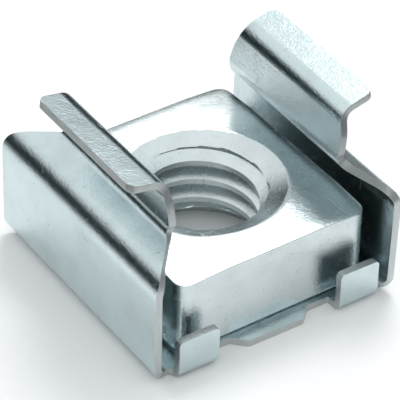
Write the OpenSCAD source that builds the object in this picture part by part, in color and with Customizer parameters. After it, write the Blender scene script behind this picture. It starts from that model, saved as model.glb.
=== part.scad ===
// Cage nut for square-hole rack rails: a folded spring-steel cage that holds a square nut loosely,
// so that the nut can shift and find the screw. Millimetres, +Z up, resting on the base plate.
// Origin: the middle of the footprint, on the underside of the base plate.

/* [Sheet] */
// Thickness of the spring-steel sheet
sheet = 0.35; // [0.3:0.05:0.45]
// Inner radius of the bend between base plate and outer wall
base_bend = 0.45; // [0.3:0.05:0.6]
// Inner radius of the bend between outer wall and shoulder
shoulder_bend = 0.7; // [0.5:0.05:0.8]
// Inner radius of the fold between shoulder and neck
neck_fold = 0.3; // [0.2:0.05:0.4]
// Inner radius of the bend between neck and lip
lip_bend = 0.25; // [0.15:0.05:0.3]
// Inner radius of the bend between base plate and tab
tab_bend = 0.2; // [0.15:0.05:0.3]

/* [Cage] */
// Width over the two outer walls
cage_w = 12.3; // [12.2:0.1:12.5]
// Length of the outer walls, front to back
wall_l = 12.2; // [12:0.1:12.4]
// Height of the corner between outer wall and shoulder
shoulder_h = 5.35; // [5.2:0.05:5.45]
// Height of the wall's outline at its upper corners
wall_h = 5.7; // [5.6:0.05:5.8]
// Radius of the wall's upper corners, seen from the side
wall_corner = 0.7; // [0.5:0.1:0.9]
// Radius of the wall's lower corners, seen from the side
foot_corner = 0.8; // [0.6:0.1:1]
// Length of a shoulder where it meets the neck
fold_l = 8.5; // [8.4:0.1:8.8]
// Radius of the curve in which a neck widens towards its shoulder
flare_r = 2.2; // [1.8:0.1:2.6]
// Length of the necks and lips, front to back
lip_l = 7.3; // [7.1:0.1:7.5]
// Radius of a lip's corners
lip_corner = 0.4; // [0.2:0.1:0.6]

/* [Wings] */
// Left wing: distance from the middle and height of its fold, its ridge and the tip of its lip
left_wing = [[4.33, 6.35], [4.48, 8.25], [6, 8.52]];
// Right wing: distance from the middle and height of its fold, its ridge and the tip of its lip
right_wing = [[4.45, 6.35], [4.88, 8.25], [6.25, 8.66]];

/* [Base] */
// Length of the base plate at the relief notches
base_l = 10.8; // [10.7:0.1:11]
// Length of the base plate beside the walls
base_side_l = 11.3; // [11.2:0.1:11.4]
// Width of the tongue in the middle of each end
tongue_w = 2.8; // [2.4:0.1:3]
// Width gained by the tongue's slanting sides, on each side
tongue_flare = 0.6; // [0.3:0.1:0.8]
// Length of the base plate over the two tongues
tongue_l = 12; // [11.8:0.1:12.1]
// Width of a retaining tab
tab_w = 2; // [1.8:0.1:2.1]
// Distance of a tab's near side from the middle
tab_x = 3.12; // [3:0.02:3.2]
// Height of a tab's top
tab_h = 2.05; // [1.9:0.05:2.3]
// Radius of a tab's corners
tab_corner = 0.2; // [0.1:0.05:0.4]
// Length of the cage over the tabs
tab_l = 12.5; // [12.4:0.1:12.8]
// Diameter of the clearance hole in the base plate
clearance_d = 7; // [6.6:0.1:7.4]

/* [Nut] */
// Width of the nut, left to right
nut_w = 9.7; // [9.5:0.1:9.8]
// Length of the nut, front to back
nut_l = 10.8; // [10.6:0.1:11]
// Thickness of the nut
nut_h = 3.9; // [3.6:0.1:4]
// Offset of the loose nut from the middle, left to right and front to back
nut_shift = [0.2, 0.1];
// Radius of the nut's upright corners
nut_corner = 0.6; // [0.4:0.1:0.8]
// Radius of the nut's lower edges
nut_edge = 0.35; // [0.2:0.05:0.5]
// Core diameter of the M6 thread
bore_d = 5; // [4.9:0.05:5.2]
// Diameter of the countersink
sink_d = 7.4; // [7:0.1:7.8]
// Included angle of both countersinks
sink_angle = 120; // [90:5:120]
// Diameter of the countersink underneath
under_sink_d = 6.4; // [6:0.1:6.8]

/* [Hidden] */
$fn = 96;
reach = 20;
join = 0.005;
ledge = 0.03;
zinc = [0.78, 0.82, 0.83];
bright_zinc = [0.86, 0.89, 0.9];

// Corners of the sheet's outer face, from the tip of the left lip round to the tip of the right one
cage_corners = concat(
    [for (i = [2 : -1 : 0]) [-left_wing[i].x, left_wing[i].y]],
    [[-cage_w / 2, shoulder_h], [-cage_w / 2, 0], [cage_w / 2, 0], [cage_w / 2, shoulder_h]],
    right_wing
);
wing_bends = [lip_bend, neck_fold, shoulder_bend, base_bend];
cage_bends = concat(wing_bends, [for (i = [3 : -1 : 0]) wing_bends[i]]);

function heading(a, b) = atan2(b.y - a.y, b.x - a.x);
function turn_at(p, i) =
    let (t = heading(p[i], p[i + 1]) - heading(p[i - 1], p[i]))
    t > 180 ? t - 360 : t < -180 ? t + 360 : t;
function face_r(turn, r) = turn > 0 ? r + sheet : r;
function setback(p, r, i) =
    i == 0 || i == len(p) - 1
    ? 0
    : face_r(turn_at(p, i), r[i - 1]) * tan(abs(turn_at(p, i)) / 2);

// Sector of a ring, swept from angle a
module ring_sector(r_in, r_out, a, sweep) {
    intersection() {
        difference() {
            circle(r_out);
            circle(r_in);
        }
        polygon(concat([[0, 0]], [for (k = [0 : 2]) 2 * r_out * [cos(a + k * sweep / 2), sin(a + k * sweep / 2)]]));
    }
}

// Section of a bent sheet: p are the corners of its outer face, r the inner radii of its bends
module bent_section(p, r) {
    for (i = [0 : len(p) - 2])
        translate(p[i])
            rotate(heading(p[i], p[i + 1]))
                translate([setback(p, r, i) - join, 0])
                    square([norm(p[i + 1] - p[i]) - setback(p, r, i) - setback(p, r, i + 1) + 2 * join, sheet]);
    for (i = [1 : len(p) - 2]) {
        side = sign(turn_at(p, i));
        translate(p[i])
            rotate(heading(p[i - 1], p[i]))
                translate([-setback(p, r, i), side * face_r(side, r[i - 1])])
                    ring_sector(r[i - 1], r[i - 1] + sheet, -side * 90, turn_at(p, i));
    }
}

// Rectangle from y = 0 upward, centred on x, with one radius for its lower and one for its upper corners
module rounded_panel(w, h, r_low, r_high) {
    for (c = [[0, r_low, 1], [h, r_high, -1]])
        for (s = [-1, 1])
            translate([s * (w / 2 - c[1]), c[0] + c[2] * c[1]])
                circle(c[1]);
    translate([-w / 2, r_low])
        square([w, h - r_low - r_high]);
    translate([r_low - w / 2, 0])
        square([w - 2 * r_low, r_low]);
    translate([r_high - w / 2, h - r_high])
        square([w - 2 * r_high, r_high]);
}

// Side view of a wing: wall with round corners, then a neck that widens towards the shoulder
module wing_outline() {
    fold_h = left_wing[0].y;
    flare = (fold_l - lip_l) / 2;
    flare_top = fold_h + sqrt(pow(flare_r, 2) - pow(flare_r - flare, 2));
    rounded_panel(wall_l, wall_h, foot_corner, wall_corner);
    translate([wall_corner - wall_l / 2, wall_h - wall_corner])
        square([wall_l - 2 * wall_corner, fold_h - wall_h + wall_corner]);
    translate([-lip_l / 2, fold_h - join])
        square([lip_l, reach - fold_h]);
    difference() {
        translate([-fold_l / 2 - join, fold_h - join])
            square([fold_l + 2 * join, flare_top - fold_h]);
        for (s = [-1, 1])
            translate([s * (lip_l / 2 + flare_r), flare_top])
                circle(flare_r);
    }
}

// What is cut away at one end of a shoulder, square to its sheet: it narrows from the wall up to the fold
module shoulder_end_cut(fold) {
    run = [cage_w / 2 - fold.x, fold.y - shoulder_h];
    translate([fold.x, 0, fold.y])
        rotate([0, atan2(run.y, run.x), 0])
            translate([0, 0, -1.5 * sheet])
                linear_extrude(3 * sheet)
                    polygon([
                        [-fold.x / 2, fold_l / 2 + ledge],
                        [0, fold_l / 2 + ledge],
                        [norm(run), wall_l / 2 + 4 * ledge],
                        [norm(run), reach],
                        [-fold.x / 2, reach]
                    ]);
}

// What is cut away at one end of the base plate: everything beyond its edge, between the walls
module base_end_cut() {
    inner_w = cage_w - 2 * sheet;
    slot_x = tab_x + tab_w;
    slot_w = inner_w / 2 - slot_x;
    translate([-slot_x, base_l / 2])
        difference() {
            square([2 * slot_x, reach]);
            translate([slot_x, 0])
                polygon([
                    [-tongue_w / 2 - tongue_flare, 0],
                    [tongue_w / 2 + tongue_flare, 0],
                    [tongue_w / 2, (tongue_l - base_l) / 2],
                    [-tongue_w / 2, (tongue_l - base_l) / 2]
                ]);
        }
    for (s = [-1, 1])
        translate([s * (slot_x + slot_w / 2), base_side_l / 2 + slot_w / 2]) {
            circle(slot_w / 2);
            translate([-slot_w / 2, 0])
                square([slot_w, reach]);
        }
}

// Rounds the tip corners of one lip off
module lip_corner_cut() {
    difference() {
        square(2 * lip_corner);
        circle(lip_corner);
    }
}

// What is cut away at one end of a wing
module wing_end_cuts(wing) {
    shoulder_end_cut(wing[0]);
    translate([wing[2].x - lip_corner, lip_l / 2 - lip_corner, wing[0].y + 1])
        linear_extrude(reach)
            lip_corner_cut();
}

// Retaining tab, folded up from the base plate's front end
module tab() {
    intersection() {
        translate([tab_x, 0, 0])
            rotate([90, 0, 90])
                linear_extrude(tab_w)
                    bent_section([[base_l / 2 - 1, 0], [tab_l / 2, 0], [tab_l / 2, tab_h]], [tab_bend]);
        translate([tab_x + tab_w / 2, reach / 2, -reach / 2])
            rotate([90, 0, 0])
                linear_extrude(reach)
                    rounded_panel(tab_w, tab_h + reach / 2, tab_corner, tab_corner);
    }
}

// The cage: one stamped and folded sheet
module cage() {
    color(zinc)
        union() {
            difference() {
                intersection() {
                    rotate([90, 0, 0])
                        linear_extrude(wall_l + 1, center = true)
                            bent_section(cage_corners, cage_bends);
                    rotate([90, 0, 90])
                        linear_extrude(reach, center = true)
                            wing_outline();
                }
                for (s = [0, 1])
                    mirror([0, s, 0])
                        translate([0, 0, -1])
                            linear_extrude(1 + sheet + base_bend)
                                base_end_cut();
                translate([0, 0, -1])
                    cylinder(d = clearance_d, h = 2);
                for (s = [0, 1])
                    for (t = [0, 1])
                        mirror([s, 0, 0])
                            mirror([0, t, 0])
                                wing_end_cuts(s == 0 ? right_wing : left_wing);
            }
            for (s = [0, 1])
                for (t = [0, 1])
                    mirror([s, 0, 0])
                        mirror([0, t, 0])
                            tab();
        }
}

// Rounded block for the nut: plan, front and side views intersected
module nut_block() {
    intersection() {
        translate([0, -nut_l / 2, 0])
            linear_extrude(nut_h)
                rounded_panel(nut_w, nut_l, nut_corner, nut_corner);
        rotate([90, 0, 0])
            linear_extrude(reach, center = true)
                nut_view(nut_w);
        rotate([90, 0, 90])
            linear_extrude(reach, center = true)
                nut_view(nut_l);
    }
}

// Front or side view of the nut: lower edges rounded, upper edges sharp
module nut_view(w) {
    rounded_panel(w, 2 * nut_h, nut_edge, nut_edge);
}

// The nut: a block with rounded lower edges, bored for the thread and countersunk on both sides
module square_nut() {
    sink_h = (sink_d - bore_d) / 2 / tan(sink_angle / 2);
    under_h = (under_sink_d - bore_d) / 2 / tan(sink_angle / 2);
    color(bright_zinc)
        translate([nut_shift.x, nut_shift.y, sheet])
            difference() {
                nut_block();
                translate([0, 0, -1])
                    cylinder(d = bore_d, h = nut_h + 2);
                translate([0, 0, nut_h - sink_h])
                    cylinder(d1 = bore_d, d2 = sink_d, h = sink_h);
                cylinder(d1 = under_sink_d, d2 = bore_d, h = under_h);
            }
}

cage();
square_nut();
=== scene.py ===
"""Rack cage nut: a folded zinc-plated cage that holds a square nut loosely."""

from math import acos, atan2, cos, hypot, pi, radians, sin, sqrt, tan, tau

import bmesh
import bpy
from bpy.props import FloatProperty, FloatVectorProperty, IntProperty, PointerProperty
from bpy.types import Operator, Panel, PropertyGroup
from mathutils import Matrix, Vector


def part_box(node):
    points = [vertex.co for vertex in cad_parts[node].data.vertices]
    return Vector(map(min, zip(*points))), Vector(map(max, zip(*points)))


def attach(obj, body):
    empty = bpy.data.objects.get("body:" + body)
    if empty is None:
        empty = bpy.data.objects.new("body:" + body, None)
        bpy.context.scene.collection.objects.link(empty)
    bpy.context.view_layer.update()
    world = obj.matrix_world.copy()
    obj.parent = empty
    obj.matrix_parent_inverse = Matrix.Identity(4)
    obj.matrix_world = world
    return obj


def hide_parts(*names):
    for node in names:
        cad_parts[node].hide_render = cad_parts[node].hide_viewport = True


bl_info = {
    "name": "Rack cage nut",
    "version": (1, 0, 0),
    "blender": (4, 5, 0),
    "location": "View3D > Sidebar > Cage nut",
    "description": "Builds a square nut in its folded spring-steel cage",
    "category": "Object",
}

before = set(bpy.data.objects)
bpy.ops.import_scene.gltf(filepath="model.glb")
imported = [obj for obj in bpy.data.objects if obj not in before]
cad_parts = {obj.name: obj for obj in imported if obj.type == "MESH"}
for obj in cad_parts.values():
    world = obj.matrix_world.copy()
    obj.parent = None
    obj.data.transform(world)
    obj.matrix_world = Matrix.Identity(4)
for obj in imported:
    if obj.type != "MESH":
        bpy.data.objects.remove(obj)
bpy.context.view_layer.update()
NUT_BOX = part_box("square_nut")
MM = 0.001
UP = Vector((0, 0, 1))

# Corners (x, z) of the section's outer face in millimetres, from the left lip's tip round to the right's
LEFT_WING = [(-6.0, 8.52), (-4.45, 8.25), (-4.33, 6.17), (-6.15, 5.33)]
LEFT_FOOT = (-6.13, 0.0)
RIGHT_FOOT = (6.0, 0.0)
RIGHT_WING = [(6.12, 5.35), (4.47, 6.33), (4.87, 8.33), (6.3, 8.70)]

# Millimetres from the middle to the back (1) and front (-1) ends of the left and the right wall
WALL_ENDS = {1: (6.3, 5.85), -1: (5.9, 6.2)}

# Steps into which each bend, half the clearance hole and each rounded corner are divided
BEND_STEPS = 10
TAB_STEPS = 8
HOLE_STEPS = 24
CORNER_STEPS = 6

# The thread over one turn: part of the turn, part of the way from crest to root
THREAD_PROFILE = [(0.0, 0.0), (0.25, 0.0), (0.55, 1.0), (0.70, 1.0), (1.0, 0.0)]
# Part of a turn by which the thread is wound on
THREAD_PHASE = 0.35


# Settings


def length(name, description, default):
    """Length in metres, given in millimetres."""
    return FloatProperty(
        name=name,
        description=description,
        default=default * MM,
        min=0.0,
        subtype="DISTANCE",
        unit="LENGTH",
        precision=5,
    )


def angle(name, description, default):
    """Angle in radians, given in degrees."""
    return FloatProperty(
        name=name,
        description=description,
        default=radians(default),
        subtype="ANGLE",
        unit="ROTATION",
    )


def point(name, description, default):
    """Point in metres, given in millimetres."""
    return FloatVectorProperty(
        name=name,
        description=description,
        default=[k * MM for k in default],
        subtype="TRANSLATION",
        unit="LENGTH",
        precision=5,
    )


def colour(name, description, default):
    """Linear colour."""
    return FloatVectorProperty(
        name=name, description=description, default=default, size=3, min=0.0, max=1.0, subtype="COLOR"
    )


class CageSettings(PropertyGroup):
    sheet: length("Sheet", "Thickness of the spring-steel sheet", 0.35)
    base_bend: length("Base bend", "Inner radius between base plate and outer wall", 0.45)
    shoulder_bend: length("Shoulder bend", "Inner radius between outer wall and shoulder", 1.0)
    neck_fold: length("Neck fold", "Inner radius between shoulder and neck", 0.5)
    lip_bend: length("Lip bend", "Inner radius between neck and lip", 0.6)
    tab_bend: length("Tab bend", "Inner radius between base plate and tab", 0.2)
    lip_l: length("Lip length", "Length of the lips, front to back", 7.3)
    neck_l: length("Neck length", "Length of the necks where they are widest", 8.24)
    neck_run: length("Neck run", "From the fold to where a neck is as long as its lip", 2.1)
    clearance_r: length("Clearance radius", "Radius of the hole under the nut", 3.5)
    base_l: length("Base length", "Length of the base plate beside the tongues", 10.8)
    base_side_l: length("Base side length", "Length of the base plate beside the walls", 11.3)
    tongue_l: length("Length over tongues", "Length of the base plate over its tongues", 12.0)
    tongue_w: length("Tongue width", "Width of a tongue at its tip", 2.8)
    tongue_root_w: length("Tongue root width", "Width of a tongue at its root", 4.0)
    tab_x: length("Tab place", "Distance of a tab's near side from the middle", 3.12)
    tab_w: length("Tab width", "Width of a tab", 2.0)
    tab_h: length("Tab height", "Height of a tab's top above the underside", 2.05)
    tab_l: length("Length over tabs", "Length of the cage over its tabs", 12.5)
    edge_roll: length("Edge roll", "Width of the rounded zone where the punch entered", 0.12)
    edge_break: length("Edge break", "Width of the blunted edge where the punch broke through", 0.03)


class NutSettings(PropertyGroup):
    yaw: angle("Yaw", "Turn of the loose nut in its cage", 1)
    corner: length("Corner radius", "Radius of the upright corners", 0.6)
    foot: length("Foot radius", "Radius of the lower edges", 0.35)
    droop: length("Corner droop", "How far the top falls away at its corners", 0.14)
    droop_reach: length("Droop reach", "How far from a corner the top starts to fall away", 2.6)
    roll: length("Edge roll", "How far the top falls away along its edges", 0.05)
    roll_reach: length("Roll reach", "How far from an edge the top starts to roll off", 0.5)
    inset: length("Edge break", "Width and height of the blunted edge round the top", 0.03)
    pitch: length("Pitch", "Pitch of the thread", 1.0)
    minor_r: length("Minor radius", "Radius at the crests of the thread", 2.5)
    major_r: length("Major radius", "Radius at the roots of the thread", 3.0)
    sink_r: length("Countersink radius", "Radius of the countersink on top", 3.7)
    under_sink_r: length("Under countersink", "Radius of the countersink underneath", 3.2)
    sink_angle: angle("Countersink angle", "Included angle of both countersinks", 120)
    thread_rows: IntProperty(
        name="Thread rows", description="Rows of faces to one turn", default=20, min=8, max=40
    )
    top_rings: IntProperty(
        name="Top rings", description="Rings of faces from countersink to edge", default=16, min=4, max=40
    )


class FinishSettings(PropertyGroup):
    zinc: colour("Zinc", "Plating of the cage", (0.64, 0.74, 0.76))
    nut_zinc: colour("Nut zinc", "Plating of the nut", (0.70, 0.765, 0.78))
    dull_zinc: colour("Dull zinc", "Plating in hollows and stains", (0.44, 0.50, 0.52))
    edge_zinc: colour("Sheared edge", "Plating on sheared edges", (0.60, 0.62, 0.62))
    pit: colour("Pits", "Specks where the plating is broken", (0.16, 0.18, 0.18))
    floor: colour("Floor", "Pale studio floor", (0.97, 0.97, 0.97))
    # Painted shade: the floor colour that reflections see beyond the lit area, so metal mirrors it as
    # dark
    far_floor_painted_shade: colour("Far floor", "What metal mirrors beyond the lit floor", (0.02, 0.03, 0.035))
    horizon: colour("Horizon", "Dark of the studio below the soft light", (0.004, 0.016, 0.02))
    sky: colour("Sky", "Soft light overhead", (0.97, 1.0, 1.0))


class StageSettings(PropertyGroup):
    azimuth: angle("Azimuth", "Camera bearing", -34.59)
    elevation: angle("Elevation", "Camera height angle", 38.134)
    roll: angle("Roll", "Camera roll", 1.577)
    distance: length("Distance", "From the camera to the point aimed at", 129.83)
    aim: point("Aim", "Point that the camera aims at", (0.628, 1.301, 2.168))
    lens: FloatProperty(name="Lens", description="Focal length in millimetres", default=266.66)
    shift_x: FloatProperty(name="Shift x", description="Sideways shift of the lens", default=0.01299)
    shift_y: FloatProperty(name="Shift y", description="Upward shift of the lens", default=0.00189)
    key: FloatProperty(name="Key light", description="Watts of the large lamp", default=0.22, min=0.0)
    key_place: point("Key place", "Middle of the large lamp", (100, 100, 200))
    key_size: length("Key size", "Diameter of the large lamp", 100)
    sky: FloatProperty(name="Sky", description="Strength of the soft light", default=1.0, min=0.0)
    sky_low: FloatProperty(
        name="Sky low", description="Sine of the height angle where the soft light starts", default=0.32
    )
    sky_high: FloatProperty(
        name="Sky high", description="Sine of the height angle where it is full", default=0.46
    )
    floor_r: length("Floor radius", "Radius of the floor", 600)
    lit_r: length("Lit radius", "Where the mirrored floor starts to darken", 17)
    dark_r: length("Dark radius", "Where the mirrored floor is dark", 34)


# The cage as a flat blank, and the folds that shape it


class Section:
    """Folded section of a sheet. corners are those of its outer face and radii the inner radii of
    its bends. A place on the blank is s along the sheet and n inward from its outer face."""

    def __init__(self, corners, radii, sheet):
        points = [Vector(c) for c in corners]
        runs = [b - a for a, b in zip(points, points[1:])]
        turns = [-a.angle_signed(b) for a, b in zip(runs, runs[1:])]
        faces = [r + sheet if t > 0 else r for r, t in zip(radii, turns)]
        backs = [0.0] + [f * tan(abs(t) / 2) for f, t in zip(faces, turns)] + [0.0]
        self.parts, self.mids, self.spans, s = [], [], [], 0.0
        for i, run in enumerate(runs):
            way = run.normalized()
            left = Vector((-way.y, way.x))
            size = run.length - backs[i] - backs[i + 1]
            self.parts.append((s, size, points[i] + way * backs[i], way, left, None))
            s += size
            if i < len(turns):
                side = 1 if turns[i] > 0 else -1
                start = points[i + 1] - way * backs[i + 1]
                size = abs(turns[i]) * (radii[i] + sheet / 2)
                self.parts.append((s, size, start, way, left, (turns[i], faces[i], side)))
                self.mids.append(s + size / 2)
                self.spans.append((s, s + size))
                s += size
        self.length = s

    def at(self, s, n):
        """Place (x, z) in the folded section."""
        for start_s, size, start, way, left, bend in self.parts:
            if s <= start_s + size:
                break
        along = s - start_s
        if bend is None:
            return start + way * along + left * n
        turn, face, side = bend
        centre = start + left * face * side
        return centre + turned(left * -side * (face - side * n), turn * along / size)


def turned(arm, turn):
    """A flat vector turned anticlockwise."""
    return Vector((arm.x * cos(turn) - arm.y * sin(turn), arm.x * sin(turn) + arm.y * cos(turn)))


def rounded(corners):
    """Outline through corners (x, y, radius), each rounded by an arc."""
    out = []
    for i, (x, y, r) in enumerate(corners):
        here = Vector((x, y))
        a = (Vector(corners[i - 1][:2]) - here).normalized()
        b = (Vector(corners[(i + 1) % len(corners)][:2]) - here).normalized()
        half = acos(max(-1, min(1, a.dot(b)))) / 2
        if r <= 0 or half > radians(89):
            out.append(here)
            continue
        centre = here + (a + b).normalized() * (r / sin(half))
        start = here + a * (r / tan(half)) - centre
        sweep = -start.angle_signed(here + b * (r / tan(half)) - centre)
        for k in range(CORNER_STEPS + 1):
            out.append(centre + turned(start, sweep * k / CORNER_STEPS))
    return out


def merge(bm, distance=1e-7):
    bmesh.ops.remove_doubles(bm, verts=bm.verts, dist=distance)


def cut(bm, place, normal):
    """Cuts every face of bm along a plane and keeps both sides."""
    bmesh.ops.bisect_plane(
        bm,
        geom=bm.verts[:] + bm.edges[:] + bm.faces[:],
        dist=1e-8,
        plane_co=place,
        plane_no=normal,
    )


def roll_edges(bm, edges, width, segments):
    """Rounds edges over."""
    bmesh.ops.bevel(
        bm,
        geom=edges,
        offset=width,
        offset_type="OFFSET",
        segments=segments,
        profile=0.5,
        affect="EDGES",
        material=-1,
        clamp_overlap=True,
    )


def finish_piece(bm, name, node, materials, sharp):
    """Turns bm into the piece that stands for a CAD node. Edges over sharp degrees stay sharp."""
    mesh = bpy.data.meshes.new(name)
    bm.to_mesh(mesh)
    bm.free()
    for material in materials:
        mesh.materials.append(material)
    mesh.shade_smooth()
    mesh.set_sharp_from_angle(angle=radians(sharp))
    piece = bpy.data.objects.new(name, mesh)
    bpy.context.collection.objects.link(piece)
    weigh = piece.modifiers.new("Even shading", "WEIGHTED_NORMAL")
    weigh.keep_sharp = True
    weigh.weight = 80
    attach(piece, "root")
    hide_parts(node)


# Shader building


class Value:
    """A number in a material: expressions on it add their Math nodes."""

    def __init__(self, tree, socket):
        self.tree, self.socket = tree, socket

    def _math(self, operation, *values):
        return self.tree.add("ShaderNodeMath", {"operation": operation}, dict(enumerate(values)))

    def __add__(self, other):
        return self._math("ADD", self, other)

    def __sub__(self, other):
        return self._math("SUBTRACT", self, other)

    def __mul__(self, other):
        return self._math("MULTIPLY", self, other)

    def __pow__(self, other):
        return self._math("POWER", self, other)

    def smaller(self, other):
        return self._math("MINIMUM", self, other)

    def ramp(self, low, high):
        """Smooth step from 0 at low to 1 at high."""
        return self.tree.add(
            "ShaderNodeMapRange",
            {"interpolation_type": "SMOOTHSTEP"},
            {"Value": self, "From Min": low, "From Max": high},
        )


class Tree:
    """Node tree of a material or of the world."""

    def __init__(self, owner):
        owner.use_nodes = True
        self.nodes, self.links = owner.node_tree.nodes, owner.node_tree.links
        self.nodes.clear()

    def add(self, kind, settings=None, values=None, output=0):
        """Adds a node, sets it, then gives its sockets their values or links."""
        node = self.nodes.new(kind)
        for key, value in (settings or {}).items():
            setattr(node, key, value)
        for key, value in (values or {}).items():
            socket = node.inputs[key]
            if isinstance(value, Value):
                self.links.new(value.socket, socket)
            elif socket.type == "RGBA":
                socket.default_value = (*value, 1.0)
            else:
                socket.default_value = value
        return Value(self, node.outputs[output] if len(node.outputs) else None)

    def place(self, stretch=(1, 1, 1), turn=(0, 0, 0)):
        """Object coordinates in millimetres, stretched and turned."""
        here = self.add("ShaderNodeTexCoord", output="Object")
        return self.add(
            "ShaderNodeMapping",
            values={"Vector": here, "Scale": tuple(k / MM for k in stretch), "Rotation": turn},
        )

    def noise(self, scale, detail=2.0, rough=0.5, stretch=(1, 1, 1), turn=(0, 0, 0), warp=0.0):
        """Noise whose grain is about 1 / scale millimetres."""
        return self.add(
            "ShaderNodeTexNoise",
            values={
                "Vector": self.place(stretch, turn),
                "Scale": scale,
                "Detail": detail,
                "Roughness": rough,
                "Distortion": warp,
            },
        )

    def cells(self, scale):
        """Distance to the middles of scattered cells about 1 / scale millimetres wide."""
        return self.add(
            "ShaderNodeTexVoronoi", values={"Vector": self.place(), "Scale": scale}, output="Distance"
        )

    def mix(self, factor, a, b):
        """Mixes two colours: 6 and 7 are the node's colour sockets."""
        return self.add("ShaderNodeMix", {"data_type": "RGBA"}, {0: factor, 6: a, 7: b}, output=2)

    def axes(self, vector):
        """The three numbers of a vector."""
        node = self.add("ShaderNodeSeparateXYZ", values={0: vector}).socket.node
        return [Value(self, out) for out in node.outputs]

    def ray(self, kind):
        """1 for rays of a kind, else 0."""
        return self.add("ShaderNodeLightPath", output=kind)

    def metal(self, tint, roughness, height, depth):
        """Metal with a bumpy surface, as the material's output."""
        bump = self.add("ShaderNodeBump", values={"Height": height, "Distance": depth, "Strength": 1.0})
        shader = self.add(
            "ShaderNodeBsdfPrincipled",
            values={"Base Color": tint, "Metallic": 1.0, "Roughness": roughness, "Normal": bump},
        )
        self.output(shader)

    def output(self, shader, kind="ShaderNodeOutputMaterial"):
        self.add(kind, values={0: shader})


def plating(name, tint, settings, rough, haze, pits):
    """Bright zinc plate: a cool metal with faint haze, fine grain, pits and scratches."""
    material = bpy.data.materials.new(name)
    t = Tree(material)
    cloud = t.noise(0.55, detail=3)
    grain = t.noise(9.0, detail=4, rough=0.6)
    stain = t.noise(1.7, detail=5, rough=0.65, warp=0.6).ramp(0.56, 0.72)
    speck = t.noise(14.0, detail=1).ramp(0.71, 0.76)
    pit = t.cells(1.6).ramp(0.055, 0.03) * t.noise(0.9).ramp(0.48, 0.6)
    across = t.noise(1.1, stretch=(6.0, 0.35, 1.0), turn=(0.3, 0.2, 0.9)).ramp(0.69, 0.73)
    along = t.noise(1.3, stretch=(0.4, 5.0, 0.6), turn=(0.1, 0.5, 0.4)).ramp(0.70, 0.74)
    scratches = (across + along) * t.noise(0.6).ramp(0.5, 0.62)
    surface = t.mix(cloud.ramp(0.3, 0.7) * haze, tint, settings.dull_zinc)
    surface = t.mix(stain * (haze * 0.6), surface, settings.dull_zinc)
    surface = t.mix(((pit + speck * 0.5) * pits).smaller(1.0), surface, settings.pit)
    roughness = grain * 0.1 + cloud * 0.06 + scratches * 0.1 + stain * 0.06 + (rough - 0.08)
    height = grain + cloud * 2.0 - pit * 1.2 - scratches * 0.5
    t.metal(surface, roughness, height, 0.012 * MM)
    return material


def sheared(name, settings):
    """Sheared edge: duller plate with the fine upright lines that the punch leaves."""
    material = bpy.data.materials.new(name)
    t = Tree(material)
    lines = t.noise(2.2, detail=4, rough=0.7, stretch=(3.0, 3.0, 0.4))
    grain = t.noise(11.0, detail=3, rough=0.7)
    dull = (grain * 0.6 + lines * 0.5).ramp(0.45, 0.85)
    surface = t.mix(dull, settings.edge_zinc, settings.dull_zinc)
    t.metal(surface, grain * 0.2 + 0.32, grain + lines * 2, 0.02 * MM)
    return material


# Operators


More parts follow.
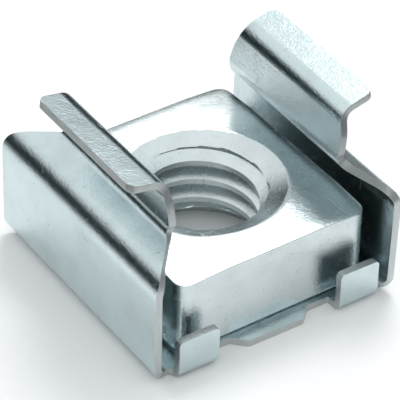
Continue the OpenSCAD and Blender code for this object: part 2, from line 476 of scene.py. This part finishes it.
class CAGE_OT_build(Operator):
    """Cut the flat blank, round its edges and fold it into the cage"""

    bl_idname = "cage_nut.build_cage"
    bl_label = "Build cage"

    def execute(self, context):
        s = context.scene.cage_nut_cage
        corners = [*LEFT_WING, LEFT_FOOT, RIGHT_FOOT, *RIGHT_WING]
        radii = [s.lip_bend, s.neck_fold, s.shoulder_bend, s.base_bend]
        fold = Section([Vector(c) * MM for c in corners], radii + radii[::-1], s.sheet)
        left_foot, right_foot = fold.mids[3:5]
        base = left_foot + (right_foot - left_foot) * -LEFT_FOOT[0] / (RIGHT_FOOT[0] - LEFT_FOOT[0])
        bm = bmesh.new()
        for end in (1, -1):
            self.half_blank(bm, fold, base, s, end)
        merge(bm)
        self.give_thickness(bm, s.sheet)
        roll_edges(bm, self.edge_loops(bm, s.sheet)[1], s.edge_roll, 4)
        roll_edges(bm, self.edge_loops(bm, s.sheet)[0], s.edge_break, 1)
        self.slice_blank(bm, fold, s)
        self.fold_blank(bm, fold, base, s)
        merge(bm)
        bmesh.ops.recalc_face_normals(bm, faces=bm.faces)
        f = context.scene.cage_nut_finish
        plate = plating("Cage zinc", f.zinc, f, rough=0.22, haze=0.35, pits=1.0)
        finish_piece(bm, "cage_sheet", "cage", [plate, sheared("Sheared edge", f)], sharp=38)
        return {"FINISHED"}

    def half_blank(self, bm, fold, base, s, end):
        """One end of the flat blank, from the middle line outward. base is its middle, along s."""
        wall_left, wall_right = WALL_ENDS[end]
        left = self.wing(s, fold.mids[1:4], 0.0, 1, wall_left * MM)
        right = self.wing(s, fold.mids[6:3:-1], fold.length, -1, wall_right * MM)
        plate = self.base_edge(s, base, -1) + self.base_edge(s, base, 1)[::-1]
        first, last = (0.0, 0.0, 0.0), (fold.length, 0.0, 0.0)
        outline = rounded([first, *left, *plate, *right[::-1], last])
        for k in range(HOLE_STEPS + 1):
            t = pi * k / HOLE_STEPS
            outline.append(Vector((base + s.clearance_r * cos(t), s.clearance_r * sin(t))))
        bm.faces.new([bm.verts.new((p.x, p.y * end, 0.0)) for p in outline])

    def wing(self, s, bends, tip, side, wall):
        """Corners from a lip's tip to the relief notch at the foot of its wall. bends are the
        middles of fold, shoulder bend and base bend, and wall is the end of the wall."""
        fold, shoulder, foot = bends
        lip, neck, run = s.lip_l / 2, s.neck_l / 2, side * s.neck_run
        return [
            (tip, lip, 0.4 * MM),
            (fold - run, lip, 1.5 * MM),
            (fold - run * 0.6, neck - 0.12 * MM, 2.0 * MM),
            (fold - run * 0.15, neck, 1.0 * MM),
            (fold, neck - 0.15 * MM, 0.3 * MM),
            (shoulder, wall, 0.9 * MM),
            (foot - side * 0.1 * MM, wall, 0.8 * MM),
            (foot + side * 0.35 * MM, s.base_side_l / 2, 0.3 * MM),
        ]

    def base_edge(self, s, base, side):
        """Corners along one half of the base plate's end, from its side to its tongue."""
        near, far = s.tab_x, s.tab_x + s.tab_w
        tab_top = tab_start(s) + tab_run(s) + s.tab_h - tab_radius(s)
        corners = [
            (far, s.base_side_l / 2, 0.25 * MM),
            (far, tab_top, 0.2 * MM),
            (near, tab_top, 0.2 * MM),
            (near, s.base_l / 2, 0.12 * MM),
            (s.tongue_root_w / 2, s.base_l / 2, 0.25 * MM),
            (s.tongue_w / 2, s.tongue_l / 2, 0.3 * MM),
        ]
        return [(base + side * x, y, r) for x, y, r in corners]

    def give_thickness(self, bm, sheet):
        """Raises the blank to the sheet's thickness and gives its cut faces their own material."""
        bmesh.ops.recalc_face_normals(bm, faces=bm.faces)
        new = bmesh.ops.extrude_face_region(bm, geom=bm.faces[:])["geom"]
        verts = [g for g in new if isinstance(g, bmesh.types.BMVert)]
        bmesh.ops.translate(bm, verts=verts, vec=UP * sheet)
        bmesh.ops.recalc_face_normals(bm, faces=bm.faces)
        for face in bm.faces:
            face.material_index = 1 if abs(face.normal.z) < 0.5 else 0

    def edge_loops(self, bm, sheet):
        """Edges round the outer and the inner face of the sheet, where they meet a cut face."""
        found = ([], [])
        for edge in bm.edges:
            faces = edge.link_faces
            if len({face.material_index for face in faces}) < 2:
                continue
            if max(face.normal.angle(UP) for face in faces) < 1.0:
                continue
            if all(v.co.z < sheet * 0.02 for v in edge.verts):
                found[0].append(edge)
            elif all(v.co.z > sheet * 0.98 for v in edge.verts):
                found[1].append(edge)
        return found

    def slice_blank(self, bm, fold, s):
        """Cuts across every bend, so that it folds smoothly."""
        for a, b in fold.spans:
            for k in range(BEND_STEPS + 1):
                cut(bm, (a + (b - a) * k / BEND_STEPS, 0, 0), (1, 0, 0))
        for end in (1, -1):
            for k in range(TAB_STEPS + 1):
                cut(bm, (0, end * (tab_start(s) + tab_run(s) * k / TAB_STEPS), 0), (0, 1, 0))

    def fold_blank(self, bm, fold, base, s):
        """Moves each vertex of the blank to its place on the folded cage."""
        start, run, radius = tab_start(s), tab_run(s), tab_radius(s)
        margin = 0.2 * MM
        for v in bm.verts:
            u, y, n = v.co
            side = 1 if y > 0 else -1
            past = abs(y) - start
            if past <= 0 or not s.tab_x - margin < abs(u - base) < s.tab_x + s.tab_w + margin:
                p = fold.at(u, n)
                v.co = (p.x, y, p.y)
            elif past < run:
                a = past / run * pi / 2
                out, up = (radius - n) * sin(a), radius - (radius - n) * cos(a)
                v.co = (u - base, side * (start + out), up)
            else:
                v.co = (u - base, side * (start + radius - n), radius + past - run)


def tab_radius(s):
    """Outer radius of a tab's bend."""
    return s.tab_bend + s.sheet


def tab_start(s):
    """Distance from the middle at which a tab's bend starts."""
    return s.tab_l / 2 - tab_radius(s)


def tab_run(s):
    """Length of a tab's bend on the blank."""
    return pi / 2 * (s.tab_bend + s.sheet / 2)


class NUT_OT_build(Operator):
    """Cut the thread and grow the block round it"""

    bl_idname = "cage_nut.build_nut"
    bl_label = "Build square nut"

    def execute(self, context):
        s = context.scene.cage_nut_nut
        low, high = NUT_BOX
        middle = (low + high) / 2
        self.half = (high - low) / 2
        self.z0, self.z1 = low.z, high.z
        bm = bmesh.new()
        self.thread(bm, s)
        rim, under = self.boundary(bm, self.z1), self.boundary(bm, self.z0)
        rim = self.top(bm, s, rim)
        rim = self.sides(bm, s, rim)
        bmesh.ops.bridge_loops(bm, edges=rim + under)
        merge(bm)
        bmesh.ops.recalc_face_normals(bm, faces=bm.faces)
        bmesh.ops.transform(bm, matrix=Matrix.Rotation(s.yaw, 4, "Z"), verts=bm.verts)
        bmesh.ops.translate(bm, verts=bm.verts, vec=(middle.x, middle.y, 0))
        f = context.scene.cage_nut_finish
        plate = plating("Nut zinc", f.nut_zinc, f, rough=0.25, haze=0.3, pits=0.8)
        finish_piece(bm, "nut_block", "square_nut", [plate], sharp=32)
        return {"FINISHED"}

    def column_angles(self):
        """Angles round the bore, close together towards the corners."""
        corner, spread = atan2(self.half.y, self.half.x), radians(5.5)
        quarter = [0.0]
        at = 0.0
        for end, count in ((corner - spread, 18), (corner + spread, 11), (pi / 2, 16)):
            quarter += [at + (end - at) * k / count for k in range(1, count + 1)]
            at = end
        half = quarter[:-1] + [pi - a for a in quarter[:0:-1]]
        return half + [a + pi for a in half] + [tau]

    def thread(self, bm, s):
        """Threaded bore with a countersink at each end, as one strip wound round the axis."""
        angles = self.column_angles()
        columns = len(angles) - 1
        height = self.z1 - self.z0
        rows = round((height / s.pitch + 1) * s.thread_rows)
        bmesh.ops.create_grid(bm, x_segments=columns, y_segments=rows, size=0.5)
        slope = tan(s.sink_angle / 2)
        for v in bm.verts:
            a = angles[round((v.co.x + 0.5) * columns)]
            turns = round((v.co.y + 0.5) * rows) / s.thread_rows
            z = max(0.0, min(height, (turns - 1 + a / tau) * s.pitch))
            r = max(
                self.profile(s, (turns + THREAD_PHASE) % 1),
                s.sink_r - (height - z) * slope,
                s.under_sink_r - z * slope,
            )
            v.co = (r * cos(a), r * sin(a), self.z0 + z)
        merge(bm, 1e-6)
        bmesh.ops.dissolve_degenerate(bm, edges=bm.edges, dist=1e-7)

    def profile(self, s, t):
        """Radius of the thread at part t of a turn: crest, flank, root, flank."""
        for (a, u), (b, w) in zip(THREAD_PROFILE, THREAD_PROFILE[1:]):
            if t <= b + 1e-9:
                break
        return s.minor_r + (s.major_r - s.minor_r) * (u + (w - u) * (t - a) / (b - a))

    def boundary(self, bm, z):
        """Open edges at height z."""
        edges = [e for e in bm.edges if e.is_boundary]
        return [e for e in edges if all(abs(v.co.z - z) < 1e-6 for v in e.verts)]

    def reach(self, a, inset, corner):
        """Distance from the axis to the rounded square, along a ray at angle a."""
        wide, long = self.half.x - inset, self.half.y - inset
        r = max(corner - inset, 0.02 * MM)
        c, d = abs(cos(a)), abs(sin(a))
        if c > 1e-9 and wide / c * d <= long - r:
            return wide / c
        if d > 1e-9 and long / d * c <= wide - r:
            return long / d
        along = (wide - r) * c + (long - r) * d
        return along + sqrt(max(0.0, r * r - (wide - r) ** 2 - (long - r) ** 2 + along * along))

    def grow(self, bm, edges, where):
        """Extrudes a loop of edges once and puts each new vertex where its angle says."""
        new = bmesh.ops.extrude_edge_only(bm, edges=edges)["geom"]
        verts = {g for g in new if isinstance(g, bmesh.types.BMVert)}
        for v in verts:
            v.co = where(atan2(v.co.y, v.co.x))
        return [g for g in new if isinstance(g, bmesh.types.BMEdge) and set(g.verts) <= verts]

    def fall(self, s, x, y):
        """How far the top has fallen away at a place, near a corner and along the edges."""
        to_x, to_y = self.half.x - abs(x), self.half.y - abs(y)
        droop = max(0.0, 1 - hypot(to_x, to_y) / s.droop_reach) ** 1.6
        roll = max(0.0, 1 - min(to_x, to_y) / s.roll_reach) ** 2
        return s.droop * droop + s.roll * roll

    def top(self, bm, s, rim):
        """Rings from the countersink out to the edge."""
        for k in range(1, s.top_rings + 1):

            def where(a, part=(k / s.top_rings) ** 0.9):
                far = self.reach(a, s.inset, s.corner)
                r = s.sink_r + (far - s.sink_r) * part
                x, y = r * cos(a), r * sin(a)
                return x, y, self.z1 - self.fall(s, x, y)

            rim = self.grow(bm, rim, where)
        return rim

    def sides(self, bm, s, rim):
        """Rings down the sides and round the lower edges."""
        foot = self.z0 + s.foot
        side_rings, foot_rings = 5, 6
        for k in range(side_rings + 1):

            def where(a, part=k / side_rings):
                far = self.reach(a, 0.0, s.corner)
                x, y = far * cos(a), far * sin(a)
                z = self.z1 - s.inset - self.fall(s, x, y)
                return x, y, z + (foot - z) * part

            rim = self.grow(bm, rim, where)
        for k in range(1, foot_rings + 1):

            def where(a, turn=pi / 2 * k / foot_rings):
                far = self.reach(a, s.foot * (1 - cos(turn)), s.corner)
                return far * cos(a), far * sin(a), foot - s.foot * sin(turn)

            rim = self.grow(bm, rim, where)
        return rim


class STAGE_OT_build(Operator):
    """Make the floor, the lamp, the world and the camera"""

    bl_idname = "cage_nut.build_stage"
    bl_label = "Build stage"

    def execute(self, context):
        scene = context.scene
        s, f = scene.cage_nut_stage, scene.cage_nut_finish
        self.floor(scene, s, f)
        self.world(scene, s, f)
        self.lamp(scene, s)
        self.camera(scene, s)
        scene.view_settings.view_transform = "Standard"
        return {"FINISHED"}

    def floor(self, scene, s, f):
        """Pale floor with painted shade: beyond the lit area its colour turns dark for reflections only,
        so metal mirrors it as dark.
        """
        bm = bmesh.new()
        bmesh.ops.create_circle(bm, cap_ends=True, segments=96, radius=s.floor_r)
        mesh = bpy.data.meshes.new("floor")
        bm.to_mesh(mesh)
        bm.free()
        floor = bpy.data.objects.new("floor", mesh)
        scene.collection.objects.link(floor)
        material = bpy.data.materials.new("Pale floor")
        t = Tree(material)
        x, y, _ = t.axes(t.place())
        away = (x * x + y * y) ** 0.5
        # Painted shade: reflections see the floor darken beyond the lit radius, while the camera sees it
        # pale
        painted_far_shade = away.ramp(s.lit_r / MM, s.dark_r / MM) * t.ray("Is Glossy Ray")
        tint = t.mix(painted_far_shade, f.floor, f.far_floor_painted_shade)
        t.output(t.add("ShaderNodeBsdfDiffuse", values={"Color": tint}))
        mesh.materials.append(material)

    def world(self, scene, s, f):
        """Soft light overhead above a dark horizon, and plain white for the camera."""
        scene.world = bpy.data.worlds.new("Studio")
        t = Tree(scene.world)
        _, _, z = t.axes(t.add("ShaderNodeTexCoord", output="Generated"))
        sky = t.mix(z.ramp(s.sky_low, s.sky_high), f.horizon, f.sky)
        sky = t.mix(t.ray("Is Camera Ray"), sky, (1.0, 1.0, 1.0))
        shader = t.add("ShaderNodeBackground", values={"Color": sky, "Strength": s.sky})
        t.output(shader, "ShaderNodeOutputWorld")

    def lamp(self, scene, s):
        """One large round lamp, aimed at the nut."""
        lamp = bpy.data.lights.new("key", "AREA")
        lamp.shape = "DISK"
        lamp.size = s.key_size
        lamp.energy = s.key
        piece = bpy.data.objects.new("key", lamp)
        piece.location = s.key_place
        piece.rotation_mode = "QUATERNION"
        piece.rotation_quaternion = Vector(s.key_place).to_track_quat("Z", "Y")
        scene.collection.objects.link(piece)

    def camera(self, scene, s):
        """Camera at a bearing and height angle from the point it aims at."""
        data = bpy.data.cameras.new("camera")
        data.lens, data.sensor_width = s.lens, 36.0
        data.shift_x, data.shift_y = s.shift_x, s.shift_y
        data.clip_start, data.clip_end = 0.01, 10.0
        back = Vector(
            (sin(s.azimuth) * cos(s.elevation), -cos(s.azimuth) * cos(s.elevation), sin(s.elevation))
        )
        level = Vector((cos(s.azimuth), sin(s.azimuth), 0.0))
        up = back.cross(level)
        right = level * cos(s.roll) + up * sin(s.roll)
        up = up * cos(s.roll) - level * sin(s.roll)
        camera = bpy.data.objects.new("camera", data)
        turn = Matrix((right, up, back)).transposed().to_4x4()
        camera.matrix_world = Matrix.Translation(Vector(s.aim) + back * s.distance) @ turn
        scene.collection.objects.link(camera)
        scene.camera = camera


class CAGE_PT_panel(Panel):
    """Settings and operators of the cage nut"""

    bl_label = "Cage nut"
    bl_idname = "CAGE_PT_panel"
    bl_space_type = "VIEW_3D"
    bl_region_type = "UI"
    bl_category = "Cage nut"

    def draw(self, context):
        for group in GROUPS:
            settings = getattr(context.scene, group)
            box = self.layout.box()
            for key in settings.__annotations__:
                box.prop(settings, key)
        for operator in OPERATORS:
            self.layout.operator(operator.bl_idname)


GROUPS = {
    "cage_nut_cage": CageSettings,
    "cage_nut_nut": NutSettings,
    "cage_nut_finish": FinishSettings,
    "cage_nut_stage": StageSettings,
}
OPERATORS = (CAGE_OT_build, NUT_OT_build, STAGE_OT_build)
CLASSES = (*GROUPS.values(), *OPERATORS, CAGE_PT_panel)


def register():
    for cls in CLASSES:
        bpy.utils.register_class(cls)
    for name, group in GROUPS.items():
        setattr(bpy.types.Scene, name, PointerProperty(type=group))


def unregister():
    for name in GROUPS:
        delattr(bpy.types.Scene, name)
    for cls in reversed(CLASSES):
        bpy.utils.unregister_class(cls)


def main():
    register()
    bpy.ops.cage_nut.build_cage()
    bpy.ops.cage_nut.build_nut()
    bpy.ops.cage_nut.build_stage()


if __name__ == "__main__":
    main()
